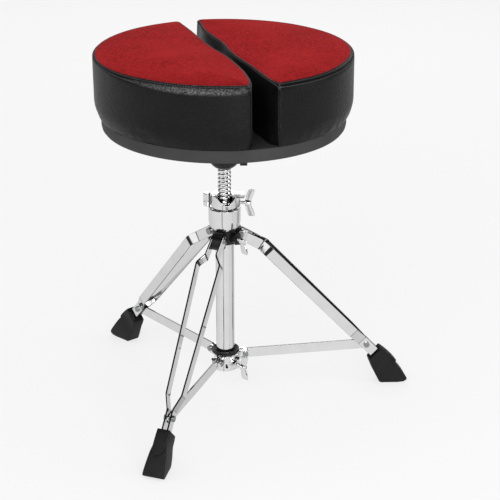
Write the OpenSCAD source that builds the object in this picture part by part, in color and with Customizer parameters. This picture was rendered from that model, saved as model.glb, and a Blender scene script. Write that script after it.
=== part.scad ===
// Round drum throne: a cushion seat in two halves on a screw spindle with a
// memory lock, over a folding tripod whose legs are pairs of flat straps.
// Origin: the column's axis at floor level. +Z is up and -Y is the seat's front.

/* [Seat] */
// Diameter over the padded sides
seat_d = 457.2; // [400:0.1:500]
// Height of the base pan's lower edge above the floor
pan_z = 529; // [450:1:650]
// Diameter of the base pan
pan_d = 430; // [380:1:470]
// Height of the base pan's rim
pan_h = 23; // [15:1:40]
// Height of the cushion sides
cushion_h = 110; // [60:1:140]
// Height of the top panel's crown above the sides
crown_h = 8; // [0:1:20]
// Gap between the cushion halves at its narrowest
gap_min = 12; // [4:1:40]
// Gap between the cushion halves at the seat's edge
gap_max = 28; // [8:1:60]
// Thickness of the plywood board under each cushion
board_t = 12; // [6:1:20]

/* [Spindle] */
// Crest diameter of the threaded spindle
rod_d = 24.4; // [20:0.1:32]
// Pitch of the spindle's thread
rod_pitch = 7.5; // [4:0.5:12]
// Depth of the spindle's thread
thread_depth = 1.7; // [0.5:0.1:3]
// Height of the thread's lower end above the floor
rod_z0 = 230; // [150:1:330]
// Height of the spindle's upper end, inside the seat hub
rod_z1 = 520; // [450:1:640]
// Height of the seat hub's lower end
hub_z = 449; // [400:1:520]
// Diameter of the seat hub
hub_d = 52; // [36:1:70]
// Azimuth of the hub's lock knob, from the seat's front
hub_knob_turn = 72; // [-180:1:180]

/* [Memory lock] */
// Outer diameter of the memory lock's ring
lock_d = 48; // [40:1:60]
// Height of the memory lock
lock_h = 24; // [15:1:40]
// Azimuth of the memory lock's wing bolt, from the seat's front
lock_turn = 64; // [-180:1:180]

/* [Column] */
// Outer diameter of the column tube
tube_d = 34; // [28:0.5:45]
// Wall thickness of the column tube
tube_wall = 2; // [1.2:0.1:4]
// Height of the tube's lower end above the floor
tube_z0 = 56; // [20:1:100]
// Height of the tube's upper end, inside the nut housing
tube_z1 = 352; // [340:1:360]
// Diameter of the nut housing
housing_d = 58; // [46:1:70]
// Height of the nut housing's lower end above the floor
housing_z0 = 335; // [320:1:345]
// Height of the nut housing's upper end above the floor
housing_z1 = 374; // [365:1:390]

/* [Tripod] */
// Azimuth of the front leg, from the seat's front
base_turn = -38.9; // [-60:0.1:60]
// Distance of a leg's upper pivot from the column's axis
hip_r = 30; // [26:0.5:45]
// Height of a leg's upper pivot above the floor
hip_z = 320.5; // [250:0.5:400]
// Distance of a leg's knee from the column's axis
knee_r = 71.4; // [50:0.1:100]
// Height of a leg's knee above the floor
knee_z = 295.6; // [200:0.1:400]
// Distance of a brace's outer bolt from the column's axis
ankle_r = 269; // [200:0.5:320]
// Height of a brace's bolts above the floor
ankle_z = 79.7; // [50:0.1:120]
// Distance of a brace's inner pin from the column's axis
brace_r = 37; // [32:0.5:50]
// Width of a leg strap
strap_w = 19; // [12:0.5:30]
// Thickness of a leg strap or brace
strap_t = 3; // [2:0.1:5]
// Half the spacing of a leg's straps at the hip
hip_y = 10; // [9:0.5:16]
// Half the spacing of a leg's straps just below the knee
knee_y = 22; // [12:0.5:30]
// Half the spacing of a leg's straps just above the boot
shin_y = 14.5; // [8:0.5:22]
// Half the spacing of a leg's straps at the brace's bolt
ankle_y = 5; // [4.5:0.5:10]

/* [Hidden] */
clearance = 0.05;
soft_gap = 0.2;
fine = 96;
medium = 48;
small = 32;
red = "#b02024";
black_vinyl = "#17171a";
charcoal = "#404246";
foam_grey = "#8c8a80";
ply = "#c8a56e";
chrome = "#d4d6d9";
black_paint = "#1b1c1e";
rubber = "#262729";
zinc = "#a9acae";
nylon = "#e6e3d8";

seat_r = seat_d / 2;
pan_r = pan_d / 2;
pan_wall = 3.5;
plate_t = 4;
rib_t = 3;
rib_h = 11;
rib_r0 = 118;
pan_top = pan_z + pan_h;
cushion_z0 = pan_top + soft_gap;
side_top = cushion_z0 + cushion_h;
vinyl_t = 2;
velour_t = 7;
board_inset = 2.6;
cover_tuck = 8;
cover_bend = 28;
gap_arc_r = seat_r * seat_r / (gap_max - gap_min);
wood_screw_places = [[148, 50], [178, 90], [148, 130]];
wood_screw_r = 2.5;
bracket_w = 160;
bracket_t = 4;
bracket_screw_xy = 62;
bracket_screw_r = 3;
hole_gap = 0.1;
through = 40;
bracket_z1 = pan_top - plate_t;
flange_t = 8;
flange_r = 60;
hub_r = hub_d / 2;
hub_knob_z = hub_z + 14;
knob_stem_r = 4;
knob_r = 11;
knob_h = 13;
knob_boss_r = 8;

rod_r = rod_d / 2;
rod_root = rod_r - thread_depth;
journal_r = 8;
end_bolt_r = 4;
end_bolt_depth = 21;
bush_h = 16.8;
bush_z0 = rod_z0 - bush_h - 0.1;
journal_z0 = bush_z0 - 0.1;
tube_r = tube_d / 2;
tube_bore = tube_r - tube_wall;
insert_r = 20;
housing_r = housing_d / 2;
lock_z0 = housing_z1 + 0.5;
lock_r = lock_d / 2;
lock_bolt_z = lock_z0 + 9;
lock_hinge_r = lock_r + 8;
lock_hinge_pin_r = 3;
lock_barrel_r = 6.5;
lock_catch_turn = lock_turn - 72;
lock_catch_z = lock_z0 + 5;
lock_catch_r = 2.5;
lock_mouth_foot = 4;
lock_mouth_top = 19;

collar_z0 = 307;
collar_z1 = housing_z0;
collar_r = 22;
lug_half = 8;
lug_z0 = 301;
lug_z1 = housing_z0 - 1;
lug_round = 14.5;
boss_r = 9;
boss_reach = 34;
wing_turn = base_turn + 66;
slit_turn = 10;
slit_w = 2;
slit_h = 16;
leg_turns = [for (k = [0:2]) base_turn + 120 * k];
upper_bolt_z = 320;

lower_z0 = 53;
lower_z1 = 83;
lower_r = 21;
lower_lug_half = 7;
lower_lug_z0 = ankle_z - 9;
lower_lug_z1 = ankle_z + 8;
lower_boss_r = 8;
lower_boss_reach = 32;
slot_gap = 0.3;
ring_z1 = 93;
ring_r = 25.5;
lower_bolt_z = 68;
pin_r = 3;
hip_pin_r = 4;
brace_end_r = 9.5;
boot_socket = 0.15;
thigh_slope = atan2(hip_z - knee_z, knee_r - hip_r);
leg_slope = atan2(knee_z - ankle_z, ankle_r - knee_r);
tip_reach = 42;
tip_r = ankle_r + tip_reach * cos(leg_slope);
tip_z = ankle_z - tip_reach * sin(leg_slope);
shank_r = 3;
blade_t = 3;
blade_w = 12.5;
blade_tip = 5;

// Turns a piece drawn along +X to an azimuth counted from the seat's front.
module at_azimuth(turn) {
    rotate([0, 0, turn - 90]) children();
}

// A cylinder along Y, centred on the leg's plane.
module cross_pin(r, z, pin_radius, length) {
    translate([r, 0, z]) rotate([90, 0, 0])
        cylinder(r = pin_radius, h = length, center = true, $fn = small);
}

// A slab across the leg's plane with the given side outline.
module side_slab(outline) {
    rotate([90, 0, 0]) linear_extrude(60, center = true) polygon(outline);
}

// ---- seat ----

// The wide cylinder whose near edge is a cushion half's bowed inner edge.
module gap_cylinder(side, inset, z0, h) {
    translate([side * (gap_min / 2 + inset + gap_arc_r), 0, z0])
        rotate([0, 0, side < 0 ? 180 : 0])
            cylinder(r = gap_arc_r, h = h, $fn = 720);
}

// One cushion half: the seat's round profile cut by the channel's bowed edge.
module half_seat(side, inset, z0, z1, crown) {
    shoulder = seat_r - inset;
    foot = shoulder - cover_tuck;
    top = shoulder - 3;
    bend_z = cushion_z0 + cover_bend;
    intersection() {
        rotate_extrude($fn = fine)
            polygon([
                [0, z0], [z0 > bend_z ? shoulder : foot, z0],
                [shoulder, max(z0 + 1, bend_z)], [shoulder, z1 - 5],
                [top, z1], [0, z1 + crown]
            ]);
        gap_cylinder(side, inset, z0 - 1, z1 + crown - z0 + 2);
    }
}

module foam(side) {
    color(foam_grey)
        half_seat(side, board_inset, cushion_z0 + board_t + soft_gap, side_top - velour_t, 0);
}

module vinyl(side) {
    color(black_vinyl) difference() {
        half_seat(side, 0, cushion_z0, side_top - velour_t, 0);
        half_seat(side, vinyl_t, cushion_z0 - 5, side_top + 10, 20);
    }
}

module velour(side) {
    color(red)
        half_seat(side, 0, side_top - velour_t + soft_gap, side_top, crown_h);
}

module board(side) {
    color(ply) difference() {
        intersection() {
            translate([0, 0, cushion_z0])
                cylinder(r = seat_r - cover_tuck - board_inset, h = board_t, $fn = fine);
            gap_cylinder(side, board_inset, cushion_z0 - 1, board_t + 2);
        }
        seat_screw_places() cylinder(r = wood_screw_r + hole_gap, h = 8, center = true, $fn = small);
    }
}

module foam_left() foam(-1);
module foam_right() foam(1);
module vinyl_left() vinyl(-1);
module vinyl_right() vinyl(1);
module velour_left() velour(-1);
module velour_right() velour(1);
module board_left() board(-1);
module board_right() board(1);

// Places of the wood screws that hold the boards, at the pan's top face.
module seat_screw_places() {
    for (side = [-1, 1], spot = wood_screw_places)
        at_azimuth(side * spot[1])
            translate([spot[0], 0, pan_top]) children();
}

module seat_pan() {
    color(charcoal) difference() {
        union() {
            rotate_extrude($fn = fine)
                polygon([
                    [pan_r - 7, pan_z], [pan_r - 4, pan_z], [pan_r - 1, pan_z + 4],
                    [pan_r, pan_z + 9], [pan_r, pan_top], [0, pan_top],
                    [0, pan_top - plate_t], [pan_r - pan_wall, pan_top - plate_t]
                ]);
            for (turn = [0:30:330])
                rotate([0, 0, turn + 15])
                    translate([rib_r0, -rib_t / 2, pan_top - plate_t - rib_h])
                        cube([pan_r - pan_wall + 1 - rib_r0, rib_t, rib_h + 1]);
        }
        seat_screw_places()
            cylinder(r = wood_screw_r + hole_gap, h = through, center = true, $fn = small);
        bracket_screw_places()
            cylinder(r = bracket_screw_r + hole_gap, h = through, center = true, $fn = small);
    }
}

module seat_screws() {
    color(zinc) seat_screw_places() {
        translate([0, 0, -plate_t - 3]) cylinder(r = 2 * wood_screw_r, h = 3, $fn = small);
        translate([0, 0, -plate_t - 0.5]) cylinder(r = wood_screw_r, h = plate_t + 4, $fn = small);
    }
}

module bracket_screw_places() {
    for (x = [-1, 1], y = [-1, 1])
        translate([x * bracket_screw_xy, y * bracket_screw_xy, pan_top]) children();
}

module seat_bracket() {
    color(black_paint) difference() {
        translate([-bracket_w / 2, -bracket_w / 2, bracket_z1 - bracket_t])
            cube([bracket_w, bracket_w, bracket_t]);
        bracket_screw_places()
            cylinder(r = bracket_screw_r + hole_gap, h = through, center = true, $fn = small);
    }
}

module bracket_screws() {
    color(zinc) bracket_screw_places() {
        translate([0, 0, -plate_t - bracket_t - 3.5]) cylinder(r = 5.5, h = 3.5, $fn = small);
        translate([0, 0, -plate_t - bracket_t - 0.5])
            cylinder(r = bracket_screw_r, h = plate_t + bracket_t + 0.4, $fn = small);
    }
}

module seat_hub() {
    top = bracket_z1 - bracket_t;
    color(black_paint) difference() {
        union() {
            rotate_extrude($fn = fine)
                polygon([
                    [0, hub_z], [rod_r + 1.5, hub_z], [hub_r - 9, hub_z + 1.5], [hub_r - 4.5, hub_z + 5],
                    [hub_r - 1, hub_z + 9.5], [hub_r, hub_z + 15], [hub_r, top - 42],
                    [hub_r + 7, top - flange_t - 6], [flange_r, top - flange_t],
                    [flange_r, top], [0, top]
                ]);
            at_azimuth(hub_knob_turn)
                translate([0, 0, hub_knob_z]) rotate([0, 90, 0])
                    cylinder(r = knob_boss_r, h = hub_r + 1.5, $fn = medium);
        }
        translate([0, 0, hub_z - 1])
            cylinder(r = rod_r + clearance, h = rod_z1 - hub_z + 1.2, $fn = fine);
        at_azimuth(hub_knob_turn)
            translate([0, 0, hub_knob_z]) rotate([0, 90, 0])
                cylinder(r = knob_stem_r + clearance, h = through, $fn = medium);
    }
}

module hub_lock_knob() {
    color(black_paint) at_azimuth(hub_knob_turn)
        translate([0, 0, hub_knob_z]) rotate([0, 90, 0]) {
            translate([0, 0, rod_r + 0.4]) cylinder(r = knob_stem_r, h = hub_r - 4, $fn = medium);
            difference() {
                translate([0, 0, hub_r + 2]) cylinder(r = knob_r, h = knob_h, $fn = medium);
                for (turn = [0:60:300])
                    rotate([0, 0, turn])
                        translate([knob_r + 2.5, 0, hub_r + 1.5])
                            cylinder(r = 4, h = knob_h + 1, $fn = small);
            }
        }
}

// ---- spindle ----

function thread_profile(z0, z1) =
    let (turns = floor((z1 - z0) / rod_pitch))
    [for (k = [0:turns - 1], p = [[0, rod_r], [0.3, rod_r], [0.45, rod_root], [0.85, rod_root]])
        [p[1], z0 + (k + p[0]) * rod_pitch]];

module threaded_rod() {
    color(chrome) difference() {
        rotate_extrude($fn = fine)
            polygon(concat(
                [[0, journal_z0], [journal_r, journal_z0], [journal_r, rod_z0]],
                thread_profile(rod_z0, hub_z + 2),
                [[rod_r, hub_z + 2], [rod_r, rod_z1], [0, rod_z1]]
            ));
        translate([0, 0, journal_z0 - 1])
            cylinder(r = end_bolt_r + clearance, h = end_bolt_depth + 1, $fn = medium);
    }
}

module rod_end_bolt() {
    color(zinc) {
        translate([0, 0, journal_z0 - 2.5]) cylinder(r = 12, h = 2.5, $fn = medium);
        translate([0, 0, journal_z0 - 8]) cylinder(r = 7.5, h = 5.6, $fn = 6);
        translate([0, 0, journal_z0 - 4]) cylinder(r = end_bolt_r, h = end_bolt_depth + 1, $fn = medium);
    }
}

module guide_bush() {
    color(nylon) translate([0, 0, bush_z0]) difference() {
        cylinder(r = tube_bore - clearance, h = bush_h, $fn = fine);
        translate([0, 0, -1]) cylinder(r = journal_r + clearance, h = bush_h + 2, $fn = fine);
    }
}

module memory_lock() {
    color(chrome) difference() {
        union() {
            translate([0, 0, lock_z0]) cylinder(r = lock_r, h = lock_h, $fn = fine);
            at_azimuth(lock_turn)
                translate([rod_r + 4, -8, lock_z0 + 4]) cube([lock_r + 8 - rod_r, 16, lock_h - 6]);
            at_azimuth(lock_turn + 180)
                translate([rod_r + 4, -7, lock_z0 + 1]) cube([lock_r + 6 - rod_r, 14, lock_h - 2]);
            at_azimuth(lock_turn + 180)
                translate([lock_hinge_r, 0, lock_z0]) cylinder(r = lock_barrel_r, h = lock_h, $fn = medium);
        }
        translate([0, 0, lock_z0 - 1]) cylinder(r = rod_r + 0.15, h = lock_h + 2, $fn = fine);
        at_azimuth(lock_catch_turn)
            rotate([90, 0, 90]) linear_extrude(lock_r + 5)
                polygon([
                    [-lock_mouth_foot, lock_z0 + 9], [lock_mouth_foot, lock_z0 + 9],
                    [lock_mouth_top, lock_z0 + lock_h + 1], [-lock_mouth_top, lock_z0 + lock_h + 1]
                ]);
        at_azimuth(lock_turn)
            translate([0, 0, lock_bolt_z]) rotate([0, 90, 0])
                cylinder(r = shank_r + clearance, h = 60, $fn = medium);
        at_azimuth(lock_turn + 180)
            translate([lock_hinge_r, 0, lock_z0 - 1])
                cylinder(r = lock_hinge_pin_r + clearance, h = lock_h + 2, $fn = medium);
        at_azimuth(lock_catch_turn)
            translate([0, 0, lock_catch_z]) rotate([0, 90, 0])
                cylinder(r = lock_catch_r + clearance, h = lock_r + 5, $fn = medium);
    }
}

module lock_pins() {
    color(zinc) {
        at_azimuth(lock_turn + 180)
            translate([lock_hinge_r, 0, lock_z0])
                cylinder(r = lock_hinge_pin_r, h = lock_h + 0.5, $fn = medium);
        at_azimuth(lock_catch_turn)
            translate([rod_r + 0.5, 0, lock_catch_z]) rotate([0, 90, 0])
                cylinder(r = lock_catch_r, h = lock_r - rod_r + 2.5, $fn = medium);
    }
}

// A wing bolt along +X: the shank starts at x0 and the hub runs from x1 to x2.
module wing_bolt(x0, x1, x2, reach, lift) {
    hub_mid = (x1 + x2) / 2;
    rotate([0, 90, 0]) {
        translate([0, 0, x0]) cylinder(r = shank_r, h = x1 - x0 + 1, $fn = medium);
        translate([0, 0, x1]) cylinder(r1 = 6.5, r2 = 5, h = x2 - x1, $fn = medium);
    }
    for (side = [-1, 1])
        hull() {
            translate([hub_mid, side * 5, 0]) cube([x2 - x1 - 2, 4, blade_t + 0.2], center = true);
            translate([hub_mid + lift, side * (reach - blade_tip / 2), 0])
                cube([blade_w, blade_tip, blade_t], center = true);
        }
}

module lock_wing_bolt() {
    color(chrome) at_azimuth(lock_turn)
        translate([0, 0, lock_bolt_z]) rotate([90, 0, 0])
            wing_bolt(rod_r + 0.5, lock_r + 13.5, lock_r + 24.5, 25.5, 7);
}

// ---- column ----

module outer_tube() {
    color(chrome) translate([0, 0, tube_z0]) difference() {
        cylinder(r = tube_r, h = tube_z1 - tube_z0, $fn = fine);
        translate([0, 0, -1]) cylinder(r = tube_bore, h = tube_z1 - tube_z0 + 2, $fn = fine);
    }
}

module tube_plug() {
    color(rubber) {
        translate([0, 0, tube_z0]) cylinder(r = tube_bore - clearance, h = 12, $fn = fine);
        translate([0, 0, tube_z0 - 2]) cylinder(r = tube_r - 1, h = 2, $fn = fine);
    }
}

module nut_housing() {
    color(chrome) difference() {
        rotate_extrude($fn = fine)
            polygon([
                [0, housing_z0], [housing_r - 4, housing_z0], [housing_r - 1.5, housing_z0 + 4],
                [housing_r, housing_z0 + 14], [housing_r, housing_z1 - 1],
                [housing_r - 1, housing_z1], [0, housing_z1]
            ]);
        translate([0, 0, housing_z0 - 1]) cylinder(r = tube_r + clearance, h = 60, $fn = fine);
        translate([0, 0, tube_z1]) cylinder(r = insert_r + clearance, h = 40, $fn = fine);
        at_azimuth(slit_turn)
            translate([tube_r - 1, -slit_w / 2, housing_z0 - 1]) cube([20, slit_w, slit_h + 1]);
    }
}

module thread_insert() {
    color(nylon) translate([0, 0, tube_z1]) difference() {
        cylinder(r = insert_r, h = housing_z1 - tube_z1, $fn = fine);
        translate([0, 0, -1]) cylinder(r = rod_r + clearance, h = 40, $fn = fine);
    }
}

module upper_collar() {
    color(black_paint) difference() {
        union() {
            translate([0, 0, collar_z0]) cylinder(r = collar_r, h = collar_z1 - collar_z0, $fn = fine);
            for (turn = leg_turns)
                at_azimuth(turn) {
                    translate([tube_r, -lug_half, lug_z0])
                        cube([hip_r - tube_r, 2 * lug_half, lug_z1 - lug_z0]);
                    cross_pin(hip_r, lug_z0 + lug_round, lug_round, 2 * lug_half);
                }
            at_azimuth(wing_turn)
                translate([0, 0, upper_bolt_z]) rotate([0, 90, 0])
                    cylinder(r = boss_r, h = boss_reach, $fn = medium);
        }
        translate([0, 0, collar_z0 - 20]) cylinder(r = tube_r + clearance, h = 80, $fn = fine);
        for (turn = leg_turns)
            at_azimuth(turn) cross_pin(hip_r, hip_z, hip_pin_r + clearance, 40);
        at_azimuth(wing_turn)
            translate([0, 0, upper_bolt_z]) rotate([0, 90, 0])
                cylinder(r = shank_r + clearance, h = 60, $fn = medium);
    }
}

module hip_pins() {
    color(zinc)
        for (turn = leg_turns)
            at_azimuth(turn) cross_pin(hip_r, hip_z, hip_pin_r, 2 * lug_half);
}

module upper_wing_bolt() {
    color(chrome) at_azimuth(wing_turn)
        translate([0, 0, upper_bolt_z]) rotate([90, 0, 0])
            wing_bolt(tube_r + 0.3, boss_reach + 7, boss_reach + 17.5, 25, 5);
}

// ---- lower collar and braces ----

module lower_collar() {
    color(chrome) difference() {
        union() {
            translate([0, 0, lower_z0]) cylinder(r = lower_r, h = lower_z1 - lower_z0, $fn = fine);
            for (turn = leg_turns)
                at_azimuth(turn) {
                    translate([tube_r, -lower_lug_half, lower_lug_z0])
                        cube([brace_r - tube_r, 2 * lower_lug_half, lower_lug_z1 - lower_lug_z0]);
                    cross_pin(brace_r, ankle_z - 0.5, 8.5, 2 * lower_lug_half);
                }
            at_azimuth(wing_turn)
                translate([0, 0, lower_bolt_z]) rotate([0, 90, 0])
                    cylinder(r = lower_boss_r, h = lower_boss_reach, $fn = medium);
        }
        translate([0, 0, lower_z0 - 1]) cylinder(r = tube_r + clearance, h = 60, $fn = fine);
        translate([0, 0, lower_z1]) cylinder(r = ring_r + 0.5, h = through, $fn = fine);
        for (turn = leg_turns)
            at_azimuth(turn) {
                cross_pin(brace_r, ankle_z, pin_r + clearance, 40);
                translate([brace_r - brace_end_r - 1, -strap_t / 2 - slot_gap, lower_z0 - 1])
                    cube([40, strap_t + 2 * slot_gap, 60]);
            }
        at_azimuth(wing_turn)
            translate([0, 0, lower_bolt_z]) rotate([0, 90, 0])
                cylinder(r = shank_r + clearance, h = 60, $fn = medium);
    }
}

module lower_ring() {
    color(black_paint) difference() {
        rotate_extrude($fn = fine)
            polygon([
                [0, lower_z1], [lower_r, lower_z1], [ring_r, lower_z1 + 4],
                [ring_r, ring_z1], [ring_r - 3, ring_z1], [tube_r, ring_z1 - 3], [0, ring_z1 - 3]
            ]);
        translate([0, 0, lower_z1 - 1]) cylinder(r = tube_r + clearance, h = 20, $fn = fine);
    }
}

module brace_pins() {
    color(zinc)
        for (turn = leg_turns)
            at_azimuth(turn) {
                cross_pin(brace_r, ankle_z, pin_r, 20);
                for (side = [-1, 1])
                    translate([0, side * 8.6, 0]) cross_pin(brace_r, ankle_z, 5, 3);
            }
}

module lower_wing_bolt() {
    color(chrome) at_azimuth(wing_turn)
        translate([0, 0, lower_bolt_z]) rotate([90, 0, 0])
            wing_bolt(tube_r + 0.3, lower_boss_reach + 10, lower_boss_reach + 20.5, 24, 4);
}

module brace(turn) {
    color(chrome) at_azimuth(turn) difference() {
        union() {
            for (r = [brace_r, ankle_r]) cross_pin(r, ankle_z, brace_end_r, strap_t);
            translate([brace_r, -strap_t / 2, ankle_z - brace_end_r])
                cube([ankle_r - brace_r, strap_t, 2 * brace_end_r]);
        }
        for (r = [brace_r, ankle_r]) cross_pin(r, ankle_z, pin_r + clearance, 20);
    }
}

module brace_front() brace(leg_turns[0]);
module brace_right() brace(leg_turns[1]);
module brace_left() brace(leg_turns[2]);

// ---- legs ----

// A point on a circle of the given radius round a place in the leg's plane.
function round_point(centre, radius, angle) = centre + radius * [cos(angle), sin(angle)];

// The strap's side outline: a round hip end, a rounded knee and a square tip.
function strap_outline(grow) =
    let (
        hip = [hip_r, hip_z],
        knee = [knee_r, knee_z],
        tip = [tip_r + grow * cos(leg_slope), tip_z - grow * sin(leg_slope)],
        half = strap_w / 2 + grow,
        bend = (thigh_slope + leg_slope) / 2
    )
    concat(
        [for (angle = [90:15:270]) round_point(hip, half, angle - thigh_slope)],
        [round_point(knee, half / cos(leg_slope - bend), 270 - bend)],
        [round_point(tip, half, 270 - leg_slope), round_point(tip, half, 90 - leg_slope)],
        [for (share = [0:0.25:1])
            round_point(knee, half, 90 - leg_slope + share * (leg_slope - thigh_slope))]
    );

// The strap's outline from above, which sets how far it stands from the leg's plane.
module strap_plan(side, grow) {
    y = [hip_y, hip_y, knee_y, shin_y, ankle_y, ankle_y];
    r = [0, knee_r - 8, knee_r + 8, ankle_r - 27, ankle_r - 9, tip_r + 20];
    half = strap_t / 2 + grow;
    last = len(r) - 1;
    linear_extrude(400)
        polygon(concat(
            [for (k = [0:last]) [r[k], side * (y[k] - half)]],
            [for (k = [last:-1:0]) [r[k], side * (y[k] + half)]]
        ));
}

module strap_body(side, grow) {
    intersection() {
        side_slab(strap_outline(grow));
        strap_plan(side, grow);
    }
}

module strap(turn, side) {
    color(chrome) at_azimuth(turn) difference() {
        strap_body(side, 0);
        cross_pin(hip_r, hip_z, hip_pin_r + clearance, 80);
        cross_pin(ankle_r, ankle_z, pin_r + clearance, 80);
    }
}

module strap_front_a() strap(leg_turns[0], 1);
module strap_front_b() strap(leg_turns[0], -1);
module strap_right_a() strap(leg_turns[1], 1);
module strap_right_b() strap(leg_turns[1], -1);
module strap_left_a() strap(leg_turns[2], 1);
module strap_left_b() strap(leg_turns[2], -1);

// Bolt heads on a leg's straps at the hip, with stubs that fill the strap's hole only.
module hip_heads(turn) {
    outer = hip_y + strap_t / 2;
    color(zinc) at_azimuth(turn)
        for (side = [-1, 1]) {
            translate([0, side * (outer + 1.5), 0]) cross_pin(hip_r, hip_z, 6.5, 3);
            translate([0, side * (outer - 1.3), 0]) cross_pin(hip_r, hip_z, hip_pin_r, 3);
        }
}

module hip_heads_front() hip_heads(leg_turns[0]);
module hip_heads_right() hip_heads(leg_turns[1]);
module hip_heads_left() hip_heads(leg_turns[2]);

module ankle_bolt(turn) {
    outer = ankle_y + strap_t / 2;
    color(zinc) at_azimuth(turn) {
        cross_pin(ankle_r, ankle_z, pin_r, 2 * outer + 1);
        for (side = [-1, 1])
            translate([0, side * (outer + 1.4), 0]) cross_pin(ankle_r, ankle_z, 5.5, 2.8);
    }
}

module ankle_bolt_front() ankle_bolt(leg_turns[0]);
module ankle_bolt_right() ankle_bolt(leg_turns[1]);
module ankle_bolt_left() ankle_bolt(leg_turns[2]);

// The boot's side outline, from the top edge round the toe to the heel.
boot_side = [
    [295, 69], [305, 60.5], [315, 51], [323.5, 41.5], [331, 32], [338, 22.5], [344, 14], [347.5, 8],
    [346.5, 5.5], [341, 2], [329, 0], [297.5, 0], [294, 3.5], [289.5, 13], [283, 26], [276.5, 42],
    [274.5, 48.5]
];
// Half the boot's width at stations from the leg's side to the toe.
boot_plan = [[262, 12.3], [300, 12.3], [312, 13], [323, 15], [335, 17.5], [350, 20.5]];
// The raised tongue on the boot's outer face: its side outline and its half widths.
tongue_side = [[293, 64], [297.5, 71], [330.5, 38], [326, 34]];
tongue_plan = [[285, 11.5], [305, 11.5], [314, 11], [321, 8.5], [326, 5], [331, 1.5]];

module mirrored_plan(plan) {
    last = len(plan) - 1;
    linear_extrude(120)
        polygon(concat(plan, [for (k = [last:-1:0]) [plan[k][0], -plan[k][1]]]));
}

module boot(turn) {
    color(rubber) at_azimuth(turn) difference() {
        union() {
            intersection() {
                side_slab(boot_side);
                mirrored_plan(boot_plan);
            }
            intersection() {
                side_slab(tongue_side);
                mirrored_plan(tongue_plan);
            }
        }
        for (side = [-1, 1]) strap_body(side, boot_socket);
    }
}

module boot_front() boot(leg_turns[0]);
module boot_right() boot(leg_turns[1]);
module boot_left() boot(leg_turns[2]);

// Piece to draw, or all

velour_left();
velour_right();
vinyl_left();
vinyl_right();
foam_left();
foam_right();
board_left();
board_right();
seat_pan();
seat_screws();
seat_bracket();
bracket_screws();
seat_hub();
hub_lock_knob();
threaded_rod();
rod_end_bolt();
guide_bush();
memory_lock();
lock_pins();
lock_wing_bolt();
outer_tube();
tube_plug();
nut_housing();
thread_insert();
upper_collar();
hip_pins();
upper_wing_bolt();
lower_collar();
lower_ring();
brace_pins();
lower_wing_bolt();
brace_front();
brace_right();
brace_left();
strap_front_a();
strap_front_b();
strap_right_a();
strap_right_b();
strap_left_a();
strap_left_b();
hip_heads_front();
hip_heads_right();
hip_heads_left();
ankle_bolt_front();
ankle_bolt_right();
ankle_bolt_left();
boot_front();
boot_right();
boot_left();
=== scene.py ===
"""Round drum throne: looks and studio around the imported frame.

Lengths are metres, and millimetres where MM turns them into metres. r is a distance from the column's
axis, and a turn is an azimuth in degrees from the seat's front towards the sitter's left.
"""
from math import asin, atan2, copysign, cos, exp, hypot, pi, radians, sin, sqrt

import bmesh
import bpy
import numpy as np
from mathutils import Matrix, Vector, noise


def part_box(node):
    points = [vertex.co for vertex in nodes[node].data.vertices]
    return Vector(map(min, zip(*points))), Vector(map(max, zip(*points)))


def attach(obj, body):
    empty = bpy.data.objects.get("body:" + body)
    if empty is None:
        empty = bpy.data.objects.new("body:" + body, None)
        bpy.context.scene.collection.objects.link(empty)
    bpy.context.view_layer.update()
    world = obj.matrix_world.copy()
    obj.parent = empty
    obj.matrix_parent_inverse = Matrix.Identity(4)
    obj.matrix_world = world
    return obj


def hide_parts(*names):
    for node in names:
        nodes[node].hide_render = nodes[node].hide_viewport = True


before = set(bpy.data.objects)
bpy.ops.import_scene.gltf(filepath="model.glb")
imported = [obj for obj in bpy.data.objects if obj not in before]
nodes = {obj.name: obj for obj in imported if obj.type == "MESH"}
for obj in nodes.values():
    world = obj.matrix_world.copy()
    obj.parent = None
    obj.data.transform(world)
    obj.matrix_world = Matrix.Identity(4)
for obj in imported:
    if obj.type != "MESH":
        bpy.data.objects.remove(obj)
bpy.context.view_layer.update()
MM = 0.001
EAST, NORTH, UP = Vector((1, 0, 0)), Vector((0, 1, 0)), Vector((0, 0, 1))
# the turn of each leg
LEGS = {"front": -38.9, "right": 81.1, "left": 201.1}


# ---- small geometry helpers ----

def azimuth_frame(turn):
    """Unit vectors outward and sideways at an azimuth counted from the seat's front."""
    angle = radians(turn)
    outward = Vector((sin(angle), -cos(angle), 0))
    sideways = Vector((cos(angle), sin(angle), 0))
    return outward, sideways


def placer(turn):
    """A function that makes a point of r, y and z in millimetres: outward along a turn, sideways and up."""
    outward, sideways = azimuth_frame(turn)
    return lambda r, y, z: (outward * r + sideways * y + UP * z) * MM


def round_angles(count):
    """Angles in even steps round a circle."""
    return [2 * pi * k / count for k in range(count)]


def circle(middle, across, up, radius, sides):
    """Points round a middle, in the plane of two directions."""
    return [middle + radius * (cos(a) * across + sin(a) * up) for a in round_angles(sides)]


def set_values(target, values):
    for key, value in values.items():
        setattr(target, key, value)
    return target


def new_object(name, data):
    obj = bpy.data.objects.new(name, data)
    bpy.context.scene.collection.objects.link(obj)
    return obj


def mesh_object(name, points, faces, material, smooth=True):
    """A mesh with its faces turned outward and one material."""
    mesh = bpy.data.meshes.new(name)
    mesh.from_pydata([tuple(p) for p in points], [], faces)
    mesh.validate()
    obj = new_object(name, mesh)
    mesh.materials.append(material)
    clean = bmesh.new()
    clean.from_mesh(mesh)
    bmesh.ops.recalc_face_normals(clean, faces=clean.faces)
    clean.to_mesh(mesh)
    clean.free()
    if smooth:
        mesh.polygons.foreach_set("use_smooth", [True] * len(mesh.polygons))
    return obj


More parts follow.
